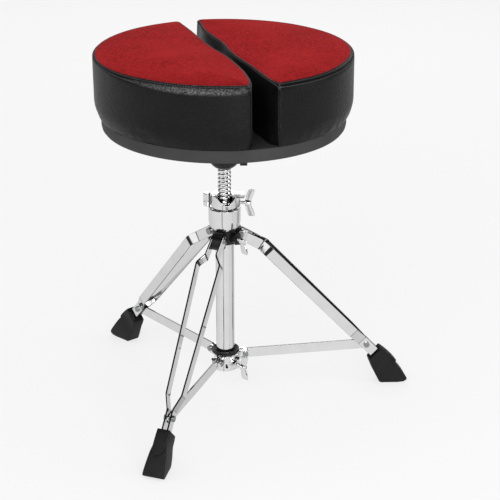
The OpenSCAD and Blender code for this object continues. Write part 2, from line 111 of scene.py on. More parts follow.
def loft(rings, closed_ring=True, caps=True):
    """Faces that join rings of equal length, with fan caps at both ends."""
    count = len(rings[0])
    points = [p for ring in rings for p in ring]
    faces = []
    last = count if closed_ring else count - 1
    for k in range(len(rings) - 1):
        for i in range(last):
            j = (i + 1) % count
            faces.append((k * count + i, k * count + j, (k + 1) * count + j, (k + 1) * count + i))
    if caps:
        faces.append(tuple(range(count - 1, -1, -1)))
        faces.append(tuple((len(rings) - 1) * count + i for i in range(count)))
    return points, faces


def smooth_step(value, low, high):
    """0 below low, 1 above high and an even rise between."""
    t = max(0.0, min(1.0, (value - low) / (high - low)))
    return t * t * (3 - 2 * t)


def add_loft(points, faces, rings):
    """Adds a capped loft to a growing mesh."""
    made, quads = loft(rings)
    base = len(points)
    points += made
    faces += [tuple(base + i for i in f) for f in quads]


def rounded_box(half_x, half_y, corner, per_corner=5):
    """Points around a rectangle with rounded corners."""
    points = []
    for sx, sy, first in ((1, 1, 0), (-1, 1, 90), (-1, -1, 180), (1, -1, 270)):
        for k in range(per_corner):
            a = radians(first + 90 * k / (per_corner - 1))
            points.append((sx * (half_x - corner) + corner * cos(a),
                           sy * (half_y - corner) + corner * sin(a)))
    return points


def add_modifier(obj, name, kind, **values):
    return set_values(obj.modifiers.new(name, kind), values)


def add_weld(obj, distance):
    """Joins points that lie on each other, such as a loop's first and last ring."""
    add_modifier(obj, "weld", "WELD", merge_threshold=distance)


def add_bevel(obj, width, angle=30):
    """Rounds the edges that are sharper than an angle in degrees."""
    add_modifier(obj, "edges", "BEVEL", width=width, segments=2, limit_method="ANGLE",
                 angle_limit=radians(angle), harden_normals=True, use_clamp_overlap=True)


def set_shade(obj, values):
    """Stores how much painted dark reflection the shaded chrome gets at each point."""
    shade = obj.data.attributes.new("shade", "FLOAT", "POINT")
    shade.data.foreach_set("value", values)


def place(obj, body, slot, *replaced):
    """Rides the piece on its body and hides the CAD nodes it stands for. slot, the name of its finish, is
    not used.
    """
    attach(obj, body)
    if replaced:
        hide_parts(*replaced)


# ---- materials ----

# where the vinyl shoulder of a cushion faces to get its painted highlight, and the velour's edge to get its
# painted shade
SHOULDER_PAINTED_HIGHLIGHT = (-0.40, -0.75, 0.56)
EDGE_PAINTED_SHADE = (-0.3, -0.95, 0)
# painted dark reflection: the colour chrome is given where it should mirror something dark
PAINTED_DARK_REFLECTION = (0.045, 0.045, 0.05)


def add_node(tree, kind, inputs=None, **values):
    """A node with its inputs set, or linked to other nodes' outputs."""
    made = set_values(tree.nodes.new(kind), values)
    for slot, value in (inputs or {}).items():
        if isinstance(value, bpy.types.NodeSocket):
            tree.links.new(value, made.inputs[slot])
        else:
            made.inputs[slot].default_value = value
    return made


class Shader:
    """A material's node tree, with short calls for the nodes the finishes share."""

    def __init__(self, name):
        self.material = bpy.data.materials.new(name)
        self.material.use_nodes = True
        self.tree = self.material.node_tree
        self.bsdf = self.tree.nodes["Principled BSDF"]
        self.place = self.node("ShaderNodeTexCoord").outputs["Object"]

    def node(self, kind, inputs=None, **values):
        return add_node(self.tree, kind, inputs, **values)

    def link(self, source, target):
        self.tree.links.new(source, target)

    def set(self, **values):
        for key, value in values.items():
            self.bsdf.inputs[key.replace("_", " ")].default_value = value

    def noise(self, scale, detail=3.0, roughness=0.5, stretch=None):
        """Cloudy noise, finer with a larger scale, and drawn out by a stretch per axis."""
        where = self.place
        if stretch:
            where = self.node("ShaderNodeMapping", {"Vector": where, "Scale": stretch}).outputs["Vector"]
        return self.node("ShaderNodeTexNoise", {"Vector": where, "Scale": scale, "Detail": detail,
                                                "Roughness": roughness}).outputs["Fac"]

    def cells(self, scale, feature="F1"):
        """Rounded cells, as in grain or grit."""
        return self.node("ShaderNodeTexVoronoi", {"Vector": self.place, "Scale": scale},
                         feature=feature).outputs["Distance"]

    def span(self, value, low, high, to_low=0.0, to_high=1.0):
        """Maps low to high onto to_low to to_high, and cuts off what lies outside."""
        return self.node("ShaderNodeMapRange", {"Value": value, "From Min": low, "From Max": high,
                                                "To Min": to_low, "To Max": to_high}).outputs["Result"]

    def math(self, operation, a, b):
        return self.node("ShaderNodeMath", {0: a, 1: b}, operation=operation).outputs["Value"]

    def facing(self, direction, low, high):
        """0 to 1 as the surface turns towards a direction."""
        normal = self.node("ShaderNodeNewGeometry").outputs["Normal"]
        dot = self.node("ShaderNodeVectorMath", {0: normal, 1: Vector(direction).normalized()},
                        operation="DOT_PRODUCT")
        return self.span(dot.outputs["Value"], low, high)

    def blend(self, share, low, high):
        """A colour between two colours, by a 0 to 1 value."""
        low, high = ((*c, 1.0) if isinstance(c, tuple) else c for c in (low, high))
        return self.node("ShaderNodeMix", {0: share, 6: low, 7: high}, data_type="RGBA").outputs[2]

    def bump(self, height, strength, distance):
        relief = self.node("ShaderNodeBump", {"Height": height, "Strength": strength, "Distance": distance})
        self.link(relief.outputs["Normal"], self.bsdf.inputs["Normal"])

    def colour(self, source):
        self.link(source, self.bsdf.inputs["Base Color"])

    def roughness(self, source):
        self.link(source, self.bsdf.inputs["Roughness"])


def chrome_finish(name, tone, rough, shade=None, dark_top=False):
    """Plated steel. The shade attribute paints dark reflections onto bends and cut edges; dark_top paints a
    dark reflection onto faces turned up.
    """
    s = Shader(name)
    s.set(Metallic=1.0)
    haze = s.noise(38, 4)
    plate = s.blend(s.span(haze, 0.35, 0.7), tone, tuple(0.94 * c for c in tone))
    if shade:
        # painted dark reflection, as strong as the mesh's shade attribute
        mask = s.node("ShaderNodeAttribute", attribute_name=shade).outputs["Fac"]
        plate = s.blend(mask, plate, PAINTED_DARK_REFLECTION)
    if dark_top:
        # painted dark reflection on faces that turn up
        split = s.node("ShaderNodeSeparateXYZ")
        s.link(s.node("ShaderNodeTexCoord").outputs["Normal"], split.inputs[0])
        plate = s.blend(s.span(split.outputs["Z"], 0.35, 0.75, 0.0, 0.9), plate, PAINTED_DARK_REFLECTION)
    s.colour(plate)
    scuffs = s.noise(900, 2, stretch=(1, 1, 0.08))
    s.roughness(s.math("ADD", s.span(haze, 0.3, 0.75, rough * 0.6, rough * 1.7),
                       s.span(scuffs, 0.55, 0.8, 0.0, rough * 0.6)))
    s.bump(s.noise(160, 2), 0.05, 0.0001)
    return s.material


def plain_finish(name, tint, low, high, grain, rough, relief, specular=0.5, metallic=0.0, tint_from=0.3):
    """Two close colours that cloud into each other, and a grain that sets roughness and relief.

    tint and grain are arguments of Shader.noise, rough is a range and relief a strength and a distance.
    """
    s = Shader(name)
    s.set(Metallic=metallic, Specular_IOR_Level=specular)
    s.colour(s.blend(s.span(s.noise(*tint), tint_from, 0.7), low, high))
    surface = s.noise(*grain)
    s.roughness(s.span(surface, 0.3, 0.7, *rough))
    s.bump(surface, *relief)
    return s.material


def black_metal_finish():
    s = Shader("black_enamel")
    wear = s.noise(70, 4)
    s.colour(s.blend(s.span(wear, 0.4, 0.75), (0.004, 0.004, 0.0045), (0.009, 0.009, 0.010)))
    s.roughness(s.span(wear, 0.3, 0.7, 0.30, 0.42))
    s.set(Specular_IOR_Level=0.35)
    s.bump(s.noise(300, 2), 0.04, 0.0001)
    return s.material


def pan_finish():
    s = Shader("charcoal_moulded_plastic")
    grit = s.cells(1500)
    cloud = s.noise(16, 4)
    s.colour(s.blend(s.span(cloud, 0.3, 0.7), (0.036, 0.036, 0.037), (0.047, 0.047, 0.048)))
    s.roughness(s.span(grit, 0.0, 0.6, 0.5, 0.68))
    s.set(Specular_IOR_Level=0.25)
    s.bump(grit, 0.3, 0.00018)
    return s.material


def vinyl_finish():
    s = Shader("black_grained_vinyl")
    pebbles = s.cells(560, "SMOOTH_F1")
    creases = s.noise(180, 5, 0.6)
    patches = s.math("MULTIPLY", s.noise(9, 3), 0.3)
    tone = s.math("ADD", patches, s.math("MULTIPLY", s.noise(380, 3, 0.7), 0.7))
    skin = s.blend(s.span(tone, 0.38, 0.62), (0.0022, 0.0022, 0.0024), (0.0085, 0.0085, 0.0090))
    # painted highlight: the rolled shoulder is painted lighter in broken specks where it turns up towards
    # the front
    specks = s.span(s.noise(330, 3, 0.75), 0.40, 0.64)
    painted_highlight = s.math("MULTIPLY", s.facing(SHOULDER_PAINTED_HIGHLIGHT, 0.88, 0.99), specks)
    s.colour(s.blend(painted_highlight, skin, (0.17, 0.17, 0.175)))
    s.roughness(s.span(creases, 0.3, 0.7, 0.27, 0.40))
    s.set(Specular_IOR_Level=0.17)
    s.bump(s.math("ADD", pebbles, s.math("MULTIPLY", creases, 0.8)), 0.8, 0.0008)
    return s.material


def velour_finish():
    s = Shader("red_velour")
    nap = s.noise(560, 3, 0.85)
    brushed = s.noise(190, 4, 0.75)
    patches = s.noise(11, 4, 0.6)
    mottle = s.math("ADD", s.math("MULTIPLY", nap, 0.55), s.math("MULTIPLY", brushed, 0.45))
    pile = s.blend(s.span(mottle, 0.41, 0.59), (0.13, 0.004, 0.007), (0.48, 0.017, 0.019))
    pile = s.blend(s.span(patches, 0.40, 0.72, 0.0, 0.5), pile, (0.46, 0.020, 0.022))
    # painted shade: the velour is painted darker where the edge rolls down towards the front
    rolled = s.math("MULTIPLY", s.facing(EDGE_PAINTED_SHADE, 0.04, 0.30), 0.6)
    s.colour(s.blend(rolled, pile, (0.13, 0.004, 0.006)))
    s.set(Roughness=0.95, Specular_IOR_Level=0.04, Sheen_Weight=0.10, Sheen_Roughness=0.5)
    s.bsdf.inputs["Sheen Tint"].default_value = (1.0, 0.10, 0.09, 1)
    s.bump(mottle, 0.8, 0.0016)
    return s.material


BRIGHT = chrome_finish("chrome_bright", (0.885, 0.885, 0.89), 0.035)
# SHADED paints dark reflections where the shade attribute of a mesh asks; BAR has a painted dark reflection
# where it faces up
SHADED = chrome_finish("chrome_shaded", (0.875, 0.875, 0.88), 0.04, shade="shade")
BAR = chrome_finish("chrome_bar", (0.875, 0.875, 0.88), 0.04, dark_top=True)
ZINC = plain_finish("zinc_plate", (420, 4), (0.26, 0.27, 0.28), (0.42, 0.43, 0.44), (420, 4), (0.20, 0.34),
                    (0.10, 0.0001), metallic=1.0)
BLACK_METAL = black_metal_finish()
PAN = pan_finish()
VINYL = vinyl_finish()
VELOUR = velour_finish()
RUBBER = plain_finish("moulded_rubber", (45, 4), (0.0072, 0.0072, 0.0076), (0.0120, 0.0120, 0.0124),
                      (900, 3), (0.42, 0.56), (0.12, 0.00015), specular=0.22, tint_from=0.35)
KNOB = plain_finish("black_knob_plastic", (30, 3), (0.010, 0.010, 0.011), (0.016, 0.016, 0.017),
                    (700, 3), (0.34, 0.46), (0.12, 0.00012), specular=0.3)
NYLON = plain_finish("natural_nylon", (30, 3), (0.62, 0.61, 0.56), (0.74, 0.73, 0.68),
                     (700, 3), (0.3825, 0.5175), (0.12, 0.00012), specular=0.3)
# painted highlight: the thread is black, and its colour is raised to grey so the stitches read as lighter
# dots
THREAD = plain_finish("black_sewing_thread", (30, 3), (0.05, 0.05, 0.052), (0.10, 0.10, 0.102),
                      (700, 3), (0.51, 0.69), (0.12, 0.00012), specular=0.3)
PLYWOOD_GRAIN = (24, 6, 0.6, (1, 14, 1))
PLYWOOD = plain_finish("birch_plywood", PLYWOOD_GRAIN, (0.42, 0.26, 0.12), (0.66, 0.47, 0.26),
                       PLYWOOD_GRAIN, (0.55, 0.7), (0.2, 0.0003))


# ---- CAD nodes that stay ----

def dress(name, material, width):
    """Gives a CAD node its finish, smooth round faces and edges softened over a width."""
    obj = nodes[name]
    obj.data.materials.clear()
    obj.data.materials.append(material)
    for attribute in [a.name for a in obj.data.attributes if a.name == "custom_normal"]:
        obj.data.attributes.remove(obj.data.attributes[attribute])
    obj.data.polygons.foreach_set("use_smooth", [True] * len(obj.data.polygons))
    add_weld(obj, 0.004 * MM)
    add_bevel(obj, width * MM, 28)


for leg in LEGS:
    dress(f"brace_{leg}", BAR, 0.4)
    dress(f"hip_heads_{leg}", ZINC, 0.8)
    dress(f"ankle_bolt_{leg}", ZINC, 0.7)
for piece in ("outer_tube", "nut_housing", "lower_collar"):
    dress(piece, BRIGHT, 0.6)
for piece in ("seat_screws", "bracket_screws", "rod_end_bolt", "lock_pins", "hip_pins", "brace_pins"):
    dress(piece, ZINC, 0.4)
for piece in ("upper_collar", "lower_ring", "seat_hub", "seat_bracket"):
    dress(piece, BLACK_METAL, 0.9)
dress("seat_pan", PAN, 0.8)
dress("hub_lock_knob", KNOB, 0.8)
for piece in ("guide_bush", "thread_insert"):
    dress(piece, NYLON, 0.3)
dress("tube_plug", RUBBER, 0.4)


# ---- cushions ----

SEAT_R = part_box("vinyl_left")[1][1]
CUSHION_Z0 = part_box("vinyl_left")[0][2]
SEAT_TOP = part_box("velour_left")[1][2]
# the crown's height over the seam, and how far from the seam it levels out
CROWN = 8 * MM
CROWN_REACH = 75 * MM
EDGE_Z = SEAT_TOP - CROWN
# the middle of a half is this share of the seat's radius out to its side
HALF_MIDDLE = 0.43
STEP = 5 * MM
# rings of the tucked bottom edge, of the side, of the shoulder and of the crown
TUCK_RINGS, SIDE_RINGS, SHOULDER_RINGS, CROWN_RINGS = 3, 20, 6, 24
BOARD_INSET = 15 * MM
CLOTH = {"quality": 5, "mass": 0.3, "tension_stiffness": 30, "compression_stiffness": 30,
         "bending_stiffness": 4, "use_pressure": True, "uniform_pressure_force": 4,
         "vertex_group_mass": "pin"}
CLOTH_FRAMES, CLOTH_CAP = 20, 3.0 * MM
STITCH_PITCH, STITCH_HALF, STITCH_R = 4.6 * MM, 1.6 * MM, 0.7 * MM
PIPING_R, WELT_R = 0.8 * MM, 1.4 * MM

# inner edges of the two halves from front to back, in millimetres: across, along
LEFT_EDGE = ((-23, -219), (-16, -199), (-9.5, -164), (-4.5, -121), (-3, -72), (-4, -30), (-8, 5), (-11, 40),
             (-11.5, 100), (-11.5, 158), (-13, 200))
RIGHT_EDGE = ((20, -219), (15.5, -195), (13.5, -150), (11, -90), (8, -40), (8.5, 2), (12, 48), (11, 98),
              (9.5, 140), (12, 172), (17, 192))


def curve_through(knots, per_span=10):
    """A smooth curve through the knots."""
    out = []
    for k in range(len(knots) - 1):
        a, b = knots[max(k - 1, 0)], knots[k]
        c, d = knots[k + 1], knots[min(k + 2, len(knots) - 1)]
        for i in range(per_span):
            t = i / per_span
            out.append(0.5 * (2 * b + (c - a) * t + (2 * a - 5 * b + 4 * c - d) * t * t
                              + (3 * b - a - 3 * c + d) * t ** 3))
    out.append(knots[-1])
    return out


def resample(loop, step):
    """The closed loop again, with even spacing."""
    lengths = [0.0]
    for i in range(len(loop)):
        lengths.append(lengths[-1] + (loop[(i + 1) % len(loop)] - loop[i]).length)
    count = int(lengths[-1] / step)
    even, k = [], 0
    for i in range(count):
        target = lengths[-1] * i / count
        while lengths[k + 1] < target:
            k += 1
        share = (target - lengths[k]) / (lengths[k + 1] - lengths[k])
        even.append(loop[k].lerp(loop[(k + 1) % len(loop)], share))
    return even


def half_outline(side):
    """A cushion half from above: the outer arc, then the meandering inner edge, corners rounded.

    side is -1 for the left half and 1 for the right half.
    """
    radius = SEAT_R - 1.6 * MM
    knots = [Vector((x * MM, y * MM)) for x, y in (LEFT_EDGE if side < 0 else RIGHT_EDGE)]
    edge = curve_through(knots)
    first = asin(min(0.99, abs(edge[0].x) / radius))
    last = pi - asin(min(0.99, abs(edge[-1].x) / radius))
    arc = [Vector((side * radius * sin(a), -radius * cos(a)))
           for a in np.linspace(first, last, 150)]
    loop = resample(arc + edge[::-1], 1.5 * MM)
    front, back = arc[0], arc[-1]
    front_rounds, back_rounds = (14, 30) if side < 0 else (5, 60)
    for rounds, corner, reach in ((front_rounds, front, 26 * MM), (back_rounds, back, 60 * MM)):
        for _ in range(rounds):
            loop = [p.lerp((loop[i - 1] + loop[(i + 1) % len(loop)]) / 2,
                           0.9 * max(0.0, 1 - (p - corner).length / reach)) for i, p in enumerate(loop)]
    return resample(loop, STEP)


def inward_normals(loop):
    """The way into the loop at each point, evened out along it so that inset rings don't cross."""
    normals = []
    turn = sum(loop[i - 1].x * p.y - p.x * loop[i - 1].y for i, p in enumerate(loop))
    for i in range(len(loop)):
        along = (loop[(i + 1) % len(loop)] - loop[i - 1]).normalized()
        normal = Vector((-along.y, along.x))
        normals.append(normal if turn > 0 else -normal)
    for _ in range(14):
        normals = [(normals[i - 1] + 2 * n + normals[(i + 1) % len(normals)]).normalized()
                   for i, n in enumerate(normals)]
    return normals


def shoulder_sizes(loop, side):
    """How far the vinyl rolls over the top edge at each outline point: most at the front."""
    sizes = []
    for p in loop:
        outer = smooth_step(p.length / SEAT_R, 0.93, 0.985)
        front = smooth_step(-p.y / p.length, 0.05, 0.75)
        sizes.append((4.0 + outer * (1.5 + front * (9 if side < 0 else 6))) * MM)
    for _ in range(12):
        sizes = [(sizes[i - 1] + 2 * w + sizes[(i + 1) % len(sizes)]) / 4 for i, w in enumerate(sizes)]
    return sizes


def crown_lift(flat, outline):
    """The crown's height at a point: it rises quickly behind the seam, then levels out."""
    away = float(np.min(np.hypot(outline[:, 0] - flat.x, outline[:, 1] - flat.y)))
    share = min(1.0, away / CROWN_REACH)
    return (CROWN - 2 * MM) * (1 - (1 - share) ** 2.4)


def cushion_mesh(side):
    """Rings from the tucked bottom edge up the side, over the shoulder and in across the crown."""
    loop = half_outline(side)
    normals = inward_normals(loop)
    shoulders = shoulder_sizes(loop, side)
    centre = Vector((side * SEAT_R * HALF_MIDDLE, 0))
    height = EDGE_Z - CUSHION_Z0

    def ring_at(level, inset):
        """One ring; level and inset are functions of the outline point's number."""
        ring = []
        for i, (p, n) in enumerate(zip(loop, normals)):
            z = level(i)
            share = (z - CUSHION_Z0) / height
            outer = smooth_step(p.length / SEAT_R, 0.86, 0.95)
            tuck = 9.5 * MM * max(0.0, 1 - share / 0.30) ** 1.9 * outer
            q = p + n * (inset(i) + tuck)
            ring.append(Vector((q.x, q.y, z)))
        return ring

    rings = [ring_at(lambda i: CUSHION_Z0 + 0.3 * MM, lambda i: 7 * MM),
             ring_at(lambda i: CUSHION_Z0 + 0.2 * MM, lambda i: 2.5 * MM),
             ring_at(lambda i: CUSHION_Z0 + 0.9 * MM, lambda i: 0.4 * MM)]
    for k in range(SIDE_RINGS):
        share = k / SIDE_RINGS
        rings.append(ring_at(lambda i: CUSHION_Z0 + 3 * MM + (height - 3 * MM - shoulders[i]) * share,
                             lambda i: 0.0))
    for k in range(SHOULDER_RINGS):
        angle = radians(80) * k / (SHOULDER_RINGS - 1)
        rings.append(ring_at(lambda i: EDGE_Z - shoulders[i] * (1 - sin(angle)),
                             lambda i: shoulders[i] * (1 - cos(angle))))
    seam_at = len(rings) - 1
    rings.append(ring_at(lambda i: EDGE_Z + 0.7 * MM, lambda i: shoulders[i] * 0.83 + 0.9 * MM))
    rings.append(ring_at(lambda i: EDGE_Z + 2.0 * MM, lambda i: shoulders[i] * 0.83 + 3.0 * MM))
    base = rings[-1]
    outline = np.array([(p.x, p.y) for p in base])
    for k in range(1, CROWN_RINGS):
        share = 1 - k / CROWN_RINGS
        ring = []
        for p in base:
            flat = centre.lerp(Vector((p.x, p.y)), share)
            ring.append(Vector((flat.x, flat.y, p.z + crown_lift(flat, outline))))
        rings.append(ring)
    count = len(loop)
    points, faces = loft(rings, caps=False)
    points.append(Vector((centre.x, centre.y, SEAT_TOP)))
    start = (len(rings) - 1) * count
    faces += [(start + i, start + (i + 1) % count, len(points) - 1) for i in range(count)]
    faces.append(tuple(range(count - 1, -1, -1)))
    return points, faces, count, seam_at, rings


def inflate(points, faces, pinned):
    """Runs a short cloth simulation with air pressure and returns where the points end up."""
    obj = mesh_object("cloth_run", points, faces, VINYL)
    group = obj.vertex_groups.new(name="pin")
    group.add(pinned, 1.0, "REPLACE")
    cloth = obj.modifiers.new("cloth", "CLOTH")
    set_values(cloth.settings, CLOTH)
    cloth.settings.effector_weights.gravity = 0
    cloth.collision_settings.use_collision = False
    cloth.point_cache.frame_start = 1
    cloth.point_cache.frame_end = CLOTH_FRAMES
    for step in range(1, CLOTH_FRAMES + 1):
        bpy.context.scene.frame_set(step)
    shaped = obj.evaluated_get(bpy.context.evaluated_depsgraph_get()).data
    moved = []
    for before, vertex in zip(points, shaped.vertices):
        shift = vertex.co - before
        if shift.length > CLOTH_CAP:
            shift = shift.normalized() * CLOTH_CAP
        moved.append(before + shift)
    bpy.context.scene.frame_set(1)
    bpy.data.objects.remove(obj)
    return moved


def calm(before, after, count, seam_at):
    """Keeps the simulated swelling but spreads it evenly along the rings, as a tight cover does."""
    rings = len(before) // count
    shift = np.array([tuple(b - a) for a, b in zip(before, after)])
    grid = shift[:rings * count].reshape(rings, count, 3)
    for part in (grid[TUCK_RINGS:seam_at], grid[seam_at + 2:]):
        for _ in range(40):
            part[:] = (np.roll(part, 1, axis=1) + 2 * part + np.roll(part, -1, axis=1)) / 4
    return [p + Vector(d) for p, d in zip(before, shift)]


def cushion_detail(p, side):
    """Unevenness of a stuffed cover: soft waves, and puckers and creases where it is pulled under."""
    height = (p.z - CUSHION_Z0) / (EDGE_Z - CUSHION_Z0)
    turn = atan2(p.y, p.x)
    waves = noise.noise(p * 14) * 0.8 * MM
    tucked = max(0.0, 1 - height / 0.32) ** 1.5
    puckers = noise.noise(Vector((turn * 16, p.z * 26, side * 3))) * 2.2 * MM
    crease_z = 0.17 + 0.05 * noise.noise(Vector((turn * 3, 7, side)))
    strength = max(0.0, noise.noise(Vector((turn * 4.5, 2, side * 5)))) * 2.6 * MM
    crease = -strength * exp(-((height - crease_z) / 0.035) ** 2)
    return waves + tucked * puckers + crease


def build_cushion(side, name):
    """One half: the vinyl side, the velour top, and the piping, welt and stitches on them."""
    points, faces, count, seam_at, rings = cushion_mesh(side)
    fixed = [*range(TUCK_RINGS * count), *range((seam_at - 1) * count, (seam_at + 2) * count)]
    points = calm(points, inflate(points, faces, fixed), count, seam_at)
    centre = Vector((side * SEAT_R * HALF_MIDDLE, 0, 0))
    out = []
    for i, p in enumerate(points):
        ring = i // count
        flat = Vector((p.x, p.y, 0)) - centre
        if ring <= seam_at + 1:
            p = p + flat.normalized() * cushion_detail(p, side)
            if ring < TUCK_RINGS:
                p = p + UP * (noise.noise(Vector((atan2(p.y, p.x) * 9, side, 0))) * 0.9 * MM)
        elif ring > seam_at + 2:
            p = p + UP * (noise.noise(p * 22) * MM)
        out.append(p)
    split = seam_at * count
    vinyl_faces = [f for f in faces if max(f) < split + count and len(f) == 4]
    velour_faces = [f for f in faces if min(f) >= split]
    vinyl = mesh_object(f"vinyl_side_{name}", out[:split + count], vinyl_faces, VINYL)
    velour_faces = [tuple(i - split for i in f) for f in velour_faces]
    velour = mesh_object(f"velour_top_{name}", out[split:], velour_faces, VELOUR)
    for obj, thickness in ((vinyl, 1.2), (velour, 1.5)):
        add_modifier(obj, "smooth", "SUBSURF", levels=1, render_levels=1)
        add_modifier(obj, "cover", "SOLIDIFY", thickness=thickness * MM, offset=-1)
    place(vinyl, "spindle", "vinyl", f"vinyl_{name}")
    place(velour, "spindle", "velour", f"velour_{name}")
    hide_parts(f"foam_{name}")
    edge = [out[split + i] for i in range(count)]
    place(bead(f"piping_{name}", edge, PIPING_R, VINYL), "spindle", "vinyl")
    # a welt runs up the front corner, where the side's cover ends are sewn together
    corner = max(range(count), key=lambda i: -rings[10][i].y - 0.9 * abs(rings[10][i].x))
    welt = []
    for ring in range(TUCK_RINGS - 1, seam_at + 1):
        p = out[ring * count + corner]
        flat = Vector((p.x, p.y, 0)) - centre
        welt.append(p - flat.normalized() * 0.4 * MM)
    welt = loft([circle(p, EAST, NORTH, WELT_R, 8) for p in welt])
    place(mesh_object(f"corner_welt_{name}", *welt, VINYL), "spindle", "vinyl")
    # stitch rows follow rings of the rolled shoulder
    for row, ring in enumerate((seam_at - 1, seam_at - 3)):
        path = [out[ring * count + i] for i in range(count)]
        above = [out[(ring + 1) * count + i] for i in range(count)]
        place(stitches(f"stitch_row_{name}_{row}", path, above, centre), "spindle", "vinyl")


def bead(name, path, radius, material):
    """A round cord along a closed path."""
    rings = []
    count = len(path)
    for i, p in enumerate(path):
        along = (path[(i + 1) % count] - path[i - 1]).normalized()
        across = along.cross(UP).normalized()
        up = across.cross(along).normalized()
        rings.append(circle(p, across, up, radius, 8))
    rings.append(rings[0])
    obj = mesh_object(name, *loft(rings, caps=False), material)
    add_weld(obj, 0.01 * MM)
    return obj


def stitches(name, path, above, centre):
    """Short threads lying on the vinyl along a ring of its surface."""
    points, faces = [], []
    count = len(path)
    travelled, placed = 0.0, 0
    for i in range(count):
        a, b = path[i], path[(i + 1) % count]
        length = (b - a).length
        along = (b - a).normalized()
        normal = along.cross(above[i] - a).normalized()
        if normal.dot(a - centre) < 0:
            normal = -normal
        while placed * STITCH_PITCH < travelled + length:
            share = (placed * STITCH_PITCH - travelled) / length
            middle = a.lerp(b, share) + normal * 0.25 * MM
            add_capsule(points, faces, middle, along, STITCH_HALF, STITCH_R)
            placed += 1
        travelled += length
    return mesh_object(name, points, faces, THREAD)


def add_capsule(points, faces, middle, along, half, radius):
    """Adds a short round-ended thread to a growing mesh."""
    across = along.cross(UP).normalized()
    add_loft(points, faces, [circle(middle + along * half * t, across, UP, radius * r, 6)
                             for t, r in ((-1.0, 0.35), (-0.7, 0.9), (0.0, 1.0), (0.7, 0.9), (1.0, 0.35))])


def build_board(side, name):
    """The plywood base of a cushion half, set back from its cover's edge."""
    low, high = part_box(f"board_{name}")
    loop = half_outline(side)
    edge = [p + n * BOARD_INSET for p, n in zip(loop, inward_normals(loop))]
    rings = [[Vector((p.x, p.y, z)) for p in edge] for z in (low[2], high[2])]
    board = mesh_object(f"plywood_{name}", *loft(rings), PLYWOOD, smooth=False)
    add_bevel(board, 0.8 * MM)
    place(board, "spindle", "plywood", f"board_{name}")


for side, name in ((-1, "left"), (1, "right")):
    build_cushion(side, name)
    build_board(side, name)


# ---- threaded spindle ----

THREAD_DEPTH, THREAD_PITCH, THREAD_Z0 = 1.9 * MM, 7.5 * MM, 230 * MM


def build_spindle():
    """A helical thread on a core. The core goes on below the thread and inside the hub."""
    low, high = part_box("threaded_rod")
    crest = high[0]
    root = crest - THREAD_DEPTH
    pitch, z0 = THREAD_PITCH, THREAD_Z0
    z1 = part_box("seat_hub")[0][2] + 12 * MM
    steps = 40
    turns = (z1 - z0) / pitch
    # the ridge's outline over one pitch
    profile = ((0.0, root), (0.22, crest - 0.15 * MM), (0.30, crest), (0.55, crest),
               (0.63, crest - 0.15 * MM), (0.85, root))
    rings = []
    for i in range(int(turns * steps) + 1):
        angle = 2 * pi * i / steps
        z = z0 + pitch * i / steps
        rings.append([Vector((r * cos(angle), r * sin(angle), z + (share - 0.5) * pitch))
                      for share, r in profile])
    points, faces = loft(rings, closed_ring=False, caps=False)
    # one full turn later the profile meets its own start
    size = len(profile)
    for i in range(len(rings) - steps - 1):
        end, start = i * size + size - 1, (i + steps) * size
        faces.append((end, end + size, start + size, start))
    place(mesh_object("spindle_thread", points, faces, BRIGHT), "spindle", "chrome")
    stations = ((low[2], 7.4 * MM), (low[2] + 0.6 * MM, 8 * MM), (z0 - 1 * MM, 8 * MM),
                (z0, root - 0.1 * MM), (z1, root - 0.1 * MM), (z1 + 1 * MM, crest), (high[2], crest))
    core = mesh_object("spindle_core", *loft([circle(UP * z, EAST, NORTH, r, 48) for z, r in stations]),
                       BRIGHT)
    add_bevel(core, 0.3 * MM)
    place(core, "spindle", "chrome", "threaded_rod")


build_spindle()


# ---- wing bolts ----

def build_wing_bolt(name, body, node, turn, z, start, hub0, hub1, reach, lift, blade):
    """A screw with a round hub and two flat blades, in millimetres along its turn.

    The shank begins at start and the hub spans hub0 to hub1. The blades reach up and down by reach, lean
    outward by lift at their tips and are 2 * blade wide.
    """
    outward, sideways = azimuth_frame(turn)
    origin = Vector((0, 0, z * MM))

    # the shank carries thread ridges up to the hub
    stations = [(start, 1.6)]
    x, ridge = start + 0.6, True
    while x < hub0 - 1:
        stations.append((x, 2.98 if ridge else 2.4))
        ridge = not ridge
        x += 0.7
    stations += [(hub0 - 0.8, 2.9), (hub0, 2.9), (hub0 + 0.1, 5.4), (hub0 + 0.7, 6.2), (hub0 + 4.5, 5.9),
                 (hub1 - 2, 5.2), (hub1 - 0.7, 4.6), (hub1, 3.6)]
    points, faces = [], []
    add_loft(points, faces, [circle(origin + outward * x * MM, sideways, UP, r * MM, 32)
                             for x, r in stations])
    middle_x = (hub0 + hub1) / 2
    for sign in (-1, 1):
        rings = []
        for share in (0, 0.1, 0.25, 0.4, 0.55, 0.7, 0.8, 0.87, 0.92, 0.96, 0.985, 1.0):
            span = 2.5 + (reach - 2.5) * share
            lean = lift * share ** 1.3
            end = max(0.0, (share - 0.8) / 0.2)
            half_w = 5.3 + (blade - 5.3) * smooth_step(share, 0.1, 0.5)
            half_w *= sqrt(1 - 0.80 * end ** 4)
            half_t = (2.2 - 0.75 * share) * sqrt(1 - 0.85 * end ** 5)
            middle = origin + (outward * (middle_x + lean) + UP * sign * span) * MM
            ring_points = []
            for a in round_angles(20):
                flat = half_w * copysign(abs(cos(a)) ** 0.35, cos(a))
                thick = half_t * copysign(abs(sin(a)) ** 0.6, sin(a))
                ring_points.append(middle + (outward * flat + sideways * thick) * MM)
            rings.append(ring_points)
        add_loft(points, faces, rings)
    bolt = mesh_object(name, points, faces, BRIGHT)
    add_bevel(bolt, 0.2 * MM, 50)
    place(bolt, body, "chrome", node)


